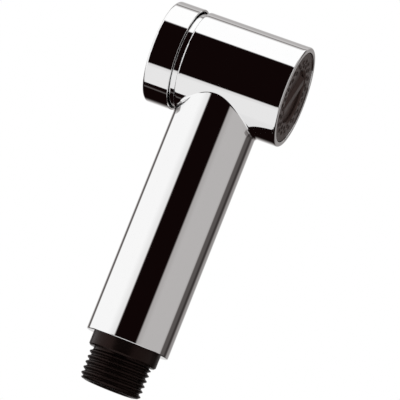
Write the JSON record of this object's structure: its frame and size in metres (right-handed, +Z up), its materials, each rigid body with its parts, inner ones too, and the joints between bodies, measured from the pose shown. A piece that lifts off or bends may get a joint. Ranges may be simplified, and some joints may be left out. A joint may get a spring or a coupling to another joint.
{
  "type": "handheld bidet shower",
  "caption": "T-shaped chromed bidet handset with a round spray face, a push button behind the head and a threaded hose connector at the foot.",
  "frame": {"origin": "on the handle's axis, at the underside of the connector's collar, where the nut of the hose stops", "axes": "+Z up the handle to the head, +X along the head's axis towards the spray face, +Y to the right-hand side seen from the spray face"},
  "size_m": [0.0466, 0.0344, 0.1266],
  "materials": {
    "chrome_plate": "polished chrome plate on brass",
    "black_plastic": "moulded, satin",
    "grey_plastic": "moulded, satin",
    "white_plastic": "moulded",
    "turned_brass": "turned",
    "spring_steel": "plain stainless",
    "seal_rubber": "moulded",
    "nozzle_rubber": "moulded, soft"
  },
  "bodies": {
    "root": {"handset_housing": "chrome_plate", "hose_connector": "black_plastic", "connector_o_ring": "seal_rubber", "inlet_strainer": "white_plastic", "riser_pipe": "white_plastic", "riser_o_ring_lower": "seal_rubber", "riser_o_ring_upper": "seal_rubber", "valve_body": "black_plastic", "valve_o_ring_rear": "seal_rubber", "valve_o_ring_front": "seal_rubber", "gland_nut": "turned_brass", "return_spring": "spring_steel", "face_gasket": "seal_rubber", "distributor_plate": "black_plastic", "nozzle_pad": "nozzle_rubber", "spray_face": "grey_plastic", "spray_insert": "grey_plastic"},
    "button": {"button_cap": "chrome_plate", "button_carrier": "white_plastic", "button_screw": "spring_steel", "spindle": "turned_brass", "spindle_o_ring_rear": "seal_rubber", "spindle_o_ring_front": "seal_rubber", "spindle_clip": "spring_steel"}
  },
  "joints": [
    {"name": "button_slide", "type": "slide", "parent": "root", "child": "button", "axis": [1, 0, 0], "range_m": [0, 0.0018], "stiffness_N_per_m": 2500, "springref_m": -0.003, "deforming": ["return_spring"]}
  ]
}
